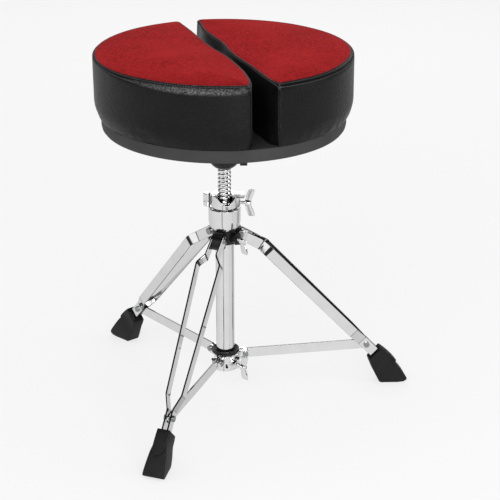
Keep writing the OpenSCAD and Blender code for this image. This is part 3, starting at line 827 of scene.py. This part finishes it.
build_wing_bolt("lock_wing", "lock_wing", "lock_wing_bolt", 64, 383.5, 12.8, 37.5, 48.5, 25.3, 7, 6.3)
build_wing_bolt("upper_wing", "upper_wing", "upper_wing_bolt", 27.1, 320, 17.4, 41, 51.5, 24.8, 5, 7.8)
build_wing_bolt("lower_wing", "lower_wing", "lower_wing_bolt", 27.1, 68, 17.4, 42, 52.5, 23.8, 4, 7.8)


# ---- lower collar details ----

def build_set_screws():
    """Small dark socket screws around the lower collar. They also stand in as painted shade for the collar's
    dark slots and marks.
    """
    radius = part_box("lower_ring")[1][0] / MM
    points, faces = [], []
    for turn, z in ((-66, 66), (-12, 64), (60, 72), (150, 66), (-120, 66)):
        outward, sideways = azimuth_frame(turn)
        profile = ((-3, 2.4), (0.5, 2.4), (0.9, 2.0), (0.9, 1.3), (-0.8, 1.2))
        add_loft(points, faces, [circle((outward * (radius + x) + UP * z) * MM, sideways, UP, r * MM, 24)
                                 for x, r in profile])
    screws = mesh_object("collar_set_screws", points, faces, BLACK_METAL)
    add_bevel(screws, 0.15 * MM, 40)
    place(screws, "lower_collar", "black_metal")


build_set_screws()


# ---- memory lock ----

# turns of the clamp arm and of the V mouth, and radii in millimetres
LOCK_TURN, MOUTH_TURN = 64, -8
LOCK_OUTER, LOCK_BORE, HINGE_R = 24, 12.4, 32


def mouth_height(across, low, high):
    """The V mouth's height at a distance from its middle line."""
    return float(np.interp(abs(across), (4, 19), (low, high)))


def rounded_block(turn, x0, x1, half_y, z0, z1, corner):
    """Rings of a block along a turn, with rounded upright edges."""
    outline = rounded_box((x1 - x0) / 2, half_y, corner, 6)
    at = placer(turn)
    return [[at((x0 + x1) / 2 + x, y, z) for x, y in outline] for z in (z0, z1)]


def build_memory_lock():
    """A ring round the spindle: a V mouth in front, a hinge barrel on one side, an arm on the other."""
    low, high = (v[2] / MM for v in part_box("memory_lock"))
    outer, bore = LOCK_OUTER, LOCK_BORE
    mouth_out, mouth_side = azimuth_frame(MOUTH_TURN)
    rings = []
    for k in range(144):
        angle = radians(2.5 * k)
        way = mouth_out * cos(angle) + mouth_side * sin(angle)

        def top(r):
            if cos(angle) <= 0:
                return high
            return mouth_height(r * sin(angle), low + 9, high)

        mid = (outer + bore) / 2
        profile = ((bore, low), (outer - 1.2, low), (outer, low + 1.2), (outer, top(outer) - 0.7),
                   (outer - 0.7, top(outer)), (mid, top(mid)), (bore, top(bore)))
        rings.append([(way * r + UP * z) * MM for r, z in profile])
    rings.append(rings[0])
    points, faces = loft(rings, caps=False)
    outward, sideways = azimuth_frame(LOCK_TURN)
    back, across = azimuth_frame(LOCK_TURN + 180)
    # the clamp arm's block by the ring, the plate above its screw and the rise on the plate, then the
    # hinge's web
    for block in ((LOCK_TURN, 15, 28, 7.5, low + 2, high - 3, 2),
                  (LOCK_TURN, 14, 36.6, 8.2, high - 4.5, high + 1.6, 3.5),
                  (LOCK_TURN, 17, 34, 5.6, high + 1.4, high + 2.8, 2.5),
                  (LOCK_TURN + 180, 16, 27, 4.5, low + 3, high - 4, 1)):
        add_loft(points, faces, rounded_block(*block))
    # the hinge's barrel, with a groove around it
    barrel = ((low, 5.6), (low + 0.8, 6.4), (low + 9, 6.4), (low + 9.6, 5.5), (low + 10.8, 5.5),
              (low + 11.4, 6.4), (high - 0.4, 6.4), (high + 0.6, 5.2))
    add_loft(points, faces, [circle((back * HINGE_R + UP * z) * MM, back, across, r * MM, 40)
                             for z, r in barrel])
    lock = mesh_object("memory_lock_body", points, faces, SHADED)
    # painted dark reflection on the mouth, the arm under its plate and the hinge's web, as if they mirrored
    # dark neighbours
    shades = []
    for p in points:
        p = p / MM
        radius, level = hypot(p.x, p.y), p.z
        in_mouth = (p.dot(mouth_out) > 0 and abs(p.dot(mouth_side)) < 20 and radius < outer - 0.3
                    and low + 2 < level < high - 1.5)
        under_plate = p.dot(outward) > 24 and abs(p.dot(sideways)) < 8.5 and level < high - 4
        in_web = 15 < p.dot(back) < 27.5 and abs(p.dot(across)) < 4.8 and radius > 25
        shades.append(0.85 if in_mouth or under_plate or in_web else 0.0)
    set_shade(lock, shades)
    add_weld(lock, 0.01 * MM)
    add_bevel(lock, 0.35 * MM, 25)
    place(lock, "memory_lock", "chrome", "memory_lock")


build_memory_lock()


# ---- leg straps ----

# the line down the middle of a leg as r and z, in millimetres, and the straps' distance from it to the side
HIP, KNEE, ANKLE = Vector((30, 320.5)), Vector((71.4, 295.6)), Vector((269, 79.7))
HIP_Y, KNEE_Y, SHIN_Y, ANKLE_Y = 10, 22, 14.5, 5
TIP_REACH, STRAP_HALF_W, STRAP_HALF_T, STRAP_EDGE = 42, 9.5, 1.5, 0.55
# along the leg from the knee's middle: half the knee's bend, and the radius of the sideways bends
BEND_SPAN, BEND_R = 14, 2.6
# how dark the painted reflections are: cut edges, the knee's bends, the bends above the boot, and the right
# leg's inner faces
EDGE_DARK, KNEE_DARK, PINCH_DARK, INNER_DARK = 0.9, 1.0, 0.4, 0.62


def bent(value, knots):
    """A broken line through the knots, with each bend rounded."""
    places, heights = zip(*knots)
    return float(np.mean([np.interp(value + BEND_R * k / 4, places, heights) for k in range(-4, 5)]))


def build_strap(leg, letter, side):
    """A flat bar: round hip end, an edgewise bend with a joggle at the knee, a pinch above the boot."""
    at = placer(LEGS[leg])
    thigh = (KNEE - HIP).length
    shin = (ANKLE - KNEE).length
    length = thigh + shin + TIP_REACH
    thigh_way, shin_way = (KNEE - HIP).normalized(), (ANKLE - KNEE).normalized()
    step_in, step_out = thigh - 7, thigh + 8
    pinch_in, pinch_out = thigh + shin - 40, thigh + shin - 13
    knots = [(-20, HIP_Y), (step_in, HIP_Y), (step_out, KNEE_Y), (pinch_in, SHIN_Y), (pinch_out, ANKLE_Y),
             (length + 20, ANKLE_Y)]
    places = [-9.4, -9.1, -8.5, -7.4, -5.8, -3.8, -1.5]
    for start, stop, step in ((1, 24, 3.0), (24, thigh + 26, 1.0), (thigh + 28, pinch_in - 8, 8.0),
                              (pinch_in - 7, pinch_out + 8, 1.5), (pinch_out + 10, length, 5.0)):
        places += list(np.arange(start, stop, step))
    places.append(length)

    def middle(d):
        """The middle line's point and way at a distance d from the hip."""
        turn = smooth_step(d, thigh - BEND_SPAN, thigh + BEND_SPAN)
        if abs(d - thigh) > BEND_SPAN:
            flat = HIP + thigh_way * d if d < thigh else KNEE + shin_way * (d - thigh)
        else:
            a, c = HIP + thigh_way * (thigh - BEND_SPAN), KNEE + shin_way * BEND_SPAN
            t = (d - thigh + BEND_SPAN) / (2 * BEND_SPAN)
            flat = a * (1 - t) ** 2 + KNEE * 2 * t * (1 - t) + c * t * t
        way = thigh_way.lerp(shin_way, turn).normalized()
        return flat, way

    rings, shades = [], []
    for d in places:
        flat, way = middle(d)
        y = bent(d, knots) * side
        slope = (bent(d + 0.5, knots) - bent(d - 0.5, knots)) * side
        along = at(way.x, slope, way.y).normalized()
        across = at(-way.y, 0, way.x).normalized()
        outer = along.cross(across).normalized()
        half = sqrt(STRAP_HALF_W ** 2 - min(d, 0) ** 2)
        w, t = half * MM, STRAP_HALF_T * MM
        inner_w, inner_t = max(0.2, half - STRAP_EDGE) * MM, (STRAP_HALF_T - STRAP_EDGE) * MM
        ring = [(w, -inner_t), (w, inner_t), (inner_w, t), (0, t), (-inner_w, t),
                (-w, inner_t), (-w, -inner_t), (-inner_w, -t), (0, -t), (inner_w, -t)]
        base = at(flat.x, y, flat.y)
        rings.append([base + across * a + outer * b for a, b in ring])
        # painted dark reflections at the knee's bends and above the boot, on cut edges and on the right
        # leg's inner faces
        bands = ((step_in, 0.7, KNEE_DARK), (step_out, 2.7, KNEE_DARK), (pinch_in, 1.5, PINCH_DARK),
                 (pinch_out, 1.5, PINCH_DARK))
        dark = max(depth * (1 - smooth_step(abs(d - bend), reach, reach + 0.5))
                   for bend, reach, depth in bands)
        inner = max(dark, INNER_DARK) if leg == "right" and d > step_out else dark
        for face_dark in (dark, inner) if side < 0 else (inner, dark):
            shades += [max(dark, EDGE_DARK)] * 2 + [face_dark] * 3
    strap = mesh_object(f"flat_strap_{leg}_{letter}", *loft(rings), SHADED, smooth=False)
    set_shade(strap, shades)
    place(strap, f"leg_{leg}", "chrome", f"strap_{leg}_{letter}")


for leg in LEGS:
    for letter, side in (("a", 1), ("b", -1)):
        build_strap(leg, letter, side)


# ---- rubber boots ----

# side outline of a boot as r and z: the outer and the heel face, from the top edge down to the sole
BOOT_OUTER = ((295, 69), (305, 60.5), (315, 51), (323.5, 41.5), (331, 32), (338, 22.5), (344, 14),
              (347.3, 8), (346.6, 5.2), (342, 2), (331, 0.1))
BOOT_HEEL = ((274.5, 48.5), (276.5, 42), (279.5, 34.5), (283, 26), (286.2, 19.5), (289.5, 13), (292, 8),
             (294, 3.5), (295.3, 1.5), (297.5, 0.1), (303, 0.05))
# the way down the shin as r and z, and the way out of a boot's outer face
SHIN_R, SHIN_Z = 0.676, -0.737
TONGUE_START, TONGUE_WAY, TONGUE_OUT = Vector((294.2, 70.2)), Vector((0.708, -0.706)), Vector((0.70, 0.71))
# the tongue's half width, where its round end begins, and its length
TONGUE_HALF_W, TONGUE_ROUND_FROM, TONGUE_LENGTH = 11.3, 31.5, 47.0


def boot_half_width(r, z):
    """The boot has a waist below its mouth and flares towards its toe."""
    along = (r - 285) * SHIN_R + (z - 59) * SHIN_Z
    waist = 1.8 * exp(-((along - 20) / 12) ** 2)
    flare = float(np.interp(r, (300, 312, 323, 335, 350), (0, 0.7, 2.7, 5.2, 8.0)))
    return 12.8 - waist + flare


def build_boot(leg):
    """A moulded boot: sections across the leg, from the top edge to the curled sole."""
    at = placer(LEGS[leg])
    pairs = [[tuple(a + (b - a) * t for a, b in zip(line[k], line[k + 1]))
              for line in (BOOT_OUTER, BOOT_HEEL)]
             for k in range(len(BOOT_OUTER) - 1) for t in (0, 1 / 3, 2 / 3)]
    pairs.append([BOOT_OUTER[-1], BOOT_HEEL[-1]])
    rings = []
    for (ro, zo), (rh, zh) in pairs:
        middle_r, middle_z = (ro + rh) / 2, (zo + zh) / 2
        half = hypot(ro - rh, zo - zh) / 2
        way = ((ro - middle_r) / half, (zo - middle_z) / half)
        ring = []
        half_y = boot_half_width(middle_r, middle_z)
        for x, y in rounded_box(half, half_y, 2.0):
            r, z = middle_r + way[0] * x, middle_z + way[1] * x
            ring.append((r, y * boot_half_width(r, z) / half_y, max(z, 0.02)))
        rings.append(ring)
    # a lip at the mouth and a shallow dish inside it
    top = rings[0]
    cr = sum(r for r, y, z in top) / len(top)
    cz = sum(z for r, y, z in top) / len(top)

    def shrunk(scale, rise):
        return [(cr + (r - cr) * scale - SHIN_R * rise, y * scale, cz + (z - cz) * scale - SHIN_Z * rise)
                for r, y, z in top]

    rings = [shrunk(0.80, -2.4), shrunk(0.84, -0.2), shrunk(0.90, 0.5), shrunk(0.965, 0.35)] + rings
    rings = [[at(*p) for p in ring] for ring in rings]
    boot = mesh_object(f"rubber_boot_{leg}", *loft(rings), RUBBER)
    add_bevel(boot, 0.5 * MM, 40)
    place(boot, f"leg_{leg}", "rubber", f"boot_{leg}")
    # the raised tongue on the outer face: straight sides and a round end towards the toe
    rings = []
    for d in (0, 2, 8, 14, 20, 26, 31.5, 34.5, 37.5, 40, 42.5, 44.5, 46, 46.8, TONGUE_LENGTH):
        flat = TONGUE_START + TONGUE_WAY * d
        bulge = 1.6 * sin(pi * min(1, d / TONGUE_LENGTH)) ** 0.8
        round_share = max(0.0, d - TONGUE_ROUND_FROM) / (TONGUE_LENGTH + 0.2 - TONGUE_ROUND_FROM)
        half = max(0.9, TONGUE_HALF_W * sqrt(1 - round_share ** 2))
        rise = 3.4 * min(1, (half / 4) ** 0.4)
        if d < 1:
            rise *= 0.8
        section = ((-half, -2.6), (-half, rise - 0.9), (-half + 0.8, rise - 0.15), (-half * 0.45, rise),
                   (0, rise), (half * 0.45, rise), (half - 0.8, rise - 0.15), (half, rise - 0.9),
                   (half, -2.6), (0, -2.6))
        ring = []
        for y, lift in section:
            out = flat + TONGUE_OUT * (lift + bulge)
            ring.append(at(out.x, y, out.y))
        rings.append(ring)
    tongue = mesh_object(f"boot_tongue_{leg}", *loft(rings), RUBBER)
    add_bevel(tongue, 0.4 * MM, 40)
    place(tongue, f"leg_{leg}", "rubber")


for leg in LEGS:
    build_boot(leg)


# ---- studio ----

# points of a boot as r and z that can be the lowest: its heel when the stand is open, its toe when folded
FLOOR_PROBES = {"heel": (294, 0), "toe": (346.6, 5.2)}
FLOOR_HALF = 9.0
# soft boxes that chrome reflects: bearing and half width in degrees, lower and upper height
SOFT_BOXES = ((72, 40, 0.27, 0.46), (-128, 18, 0.25, 0.8), (-158, 34, 0.05, 0.50), (-20, 14, 0.15, 0.45))
# dark flags standing on the sweep, which upright tubes pick up as lines: bearing, half width, strength
FLAGS = ((-126, 6, 0.42), (-48, 3, 0.15), (8, 14, 0.40))
# the white sweep below the horizon: its brightness, how much that varies, and the bearing it is brightest at
SWEEP, SWEEP_SWING, SWEEP_BRIGHTEST = 0.72, 0.09, -120
# the dim room above the horizon, and the world as light and as the camera sees it behind the floor
ROOM, WORLD_LIGHT, BACKDROP = 0.05, 0.80, 0.905
# lights: place, width and height, watts. All but the low one look at the middle of the stool
LIGHTS = {"key": ((-1.6, -2.2, 2.6), 0.5, (1.6, 1.6), 22),
          "fill": ((2.4, -1.2, 1.4), 0.5, (1.0, 1.6), 8),
          "back": ((1.2, 2.7, 1.5), 0.5, (2.2, 1.2), 9),
          "low_front": ((0.0, -2.3, 1.05), 0.6, (1.3, 0.8), 16)}


def build_floor():
    """A pale floor that chrome doesn't mirror."""
    a = FLOOR_HALF
    mesh = bpy.data.meshes.new("floor")
    mesh.from_pydata([(-a, -a, 0), (a, -a, 0), (a, a, 0), (-a, a, 0)], [], [(0, 1, 2, 3)])
    floor = new_object("floor", mesh)
    floor.visible_glossy = False
    s = Shader("studio_floor")
    emission = s.node("ShaderNodeEmission", {"Color": (0.913, 0.913, 0.913, 1), "Strength": 0.762})
    diffuse = s.node("ShaderNodeBsdfDiffuse", {"Color": (0.24, 0.24, 0.24, 1)})
    add = s.node("ShaderNodeAddShader", {0: emission.outputs[0], 1: diffuse.outputs[0]})
    s.link(add.outputs[0], s.tree.nodes["Material Output"].inputs["Surface"])
    mesh.materials.append(s.material)
    lower_with_boots(floor)


def lower_with_boots(floor):
    """The column is the fixed body, so a folded stand reaches lower: the floor follows its lowest boot."""
    driver = floor.driver_add("location", 2).driver
    driver.type = "MIN"
    for leg, turn in LEGS.items():
        at = placer(turn)
        for point, (r, z) in FLOOR_PROBES.items():
            probe = new_object(f"floor_probe_{leg}_{point}", None)
            probe.location = at(r, 0, z)
            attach(probe, f"leg_{leg}")
            variable = driver.variables.new()
            variable.type = "TRANSFORMS"
            set_values(variable.targets[0], {"id": probe, "transform_type": "LOC_Z",
                                             "transform_space": "WORLD_SPACE"})


def build_world():
    """Chrome sees the white sweep below the horizon, and a dim room with soft boxes above it."""
    world = bpy.data.worlds.new("studio")
    bpy.context.scene.world = world
    world.use_nodes = True
    tree = world.node_tree

    def calc(operation, *numbers):
        return add_node(tree, "ShaderNodeMath", dict(enumerate(numbers)), operation=operation).outputs[0]

    def ramp(value, low, high):
        return add_node(tree, "ShaderNodeMapRange", {"Value": value, "From Min": low, "From Max": high},
                        interpolation_type="SMOOTHSTEP").outputs["Result"]

    def choose(share, low, high):
        return add_node(tree, "ShaderNodeMix", {0: share, 2: low, 3: high}, data_type="FLOAT").outputs[0]

    def inverse(value):
        return calc("SUBTRACT", 1.0, value)

    direction = tree.nodes.new("ShaderNodeTexCoord").outputs["Generated"]
    x, y, z = add_node(tree, "ShaderNodeSeparateXYZ", {0: direction}).outputs
    turn = calc("ARCTAN2", y, x)

    def around(bearing, half, full, none):
        """1 near a bearing, fading between the full and none shares of the half width."""
        away = calc("WRAP", calc("SUBTRACT", turn, radians(bearing)), pi, -pi)
        return inverse(ramp(calc("ABSOLUTE", away), radians(half * full), radians(half * none)))

    boxes = 0.0
    for bearing, half, low, high in SOFT_BOXES:
        tall = calc("MULTIPLY", ramp(z, low - 0.05, low + 0.05), inverse(ramp(z, high - 0.05, high + 0.05)))
        boxes = calc("MAXIMUM", boxes, calc("MULTIPLY", around(bearing, half, 0.8, 1.2), tall))
    room = calc("MULTIPLY_ADD", boxes, 1 - ROOM, ROOM)
    side = calc("COSINE", calc("SUBTRACT", turn, radians(SWEEP_BRIGHTEST)))
    sweep = calc("MULTIPLY_ADD", side, SWEEP_SWING, SWEEP)
    for bearing, half, strength in FLAGS:
        flag = calc("MULTIPLY", around(bearing, half, 0.5, 1.3), strength)
        sweep = calc("MULTIPLY", sweep, inverse(flag))
    glossy = choose(ramp(z, -0.06, 0.05), sweep, room)
    path = tree.nodes.new("ShaderNodeLightPath")
    light = choose(path.outputs["Is Glossy Ray"], WORLD_LIGHT, glossy)
    seen = choose(path.outputs["Is Camera Ray"], light, BACKDROP)
    background = tree.nodes["Background"]
    tree.links.new(seen, background.inputs["Strength"])
    background.inputs["Color"].default_value = (1, 1, 1, 1)


def area_light(name, place_at, target_z, size, power):
    """A rectangular light that looks at the column at a height."""
    light = bpy.data.lights.new(name, "AREA")
    light.shape = "RECTANGLE"
    light.size, light.size_y = size
    light.energy = power
    obj = new_object(name, light)
    obj.location = place_at
    obj.rotation_euler = (Vector((0, 0, target_z)) - Vector(place_at)).to_track_quat("-Z", "Y").to_euler()


def build_camera():
    """In front and to the sitter's right: its turn round the column, then its own yaw and pitch."""
    data = bpy.data.cameras.new("camera")
    data.lens = 115.8
    data.sensor_width = 36
    camera = new_object("camera", data)
    yaw, pitch = radians(0.97), radians(22.33)
    outward, right = azimuth_frame(-17.8)
    camera.location = outward * 2.707 + UP * 1.401
    level = right * sin(yaw) - outward * cos(yaw)
    look = level * cos(pitch) - UP * sin(pitch)
    camera.rotation_euler = look.to_track_quat("-Z", "Y").to_euler()
    bpy.context.scene.camera = camera


build_floor()
build_world()
for name, settings in LIGHTS.items():
    area_light(name, *settings)
build_camera()
bpy.context.scene.view_settings.view_transform = "Standard"
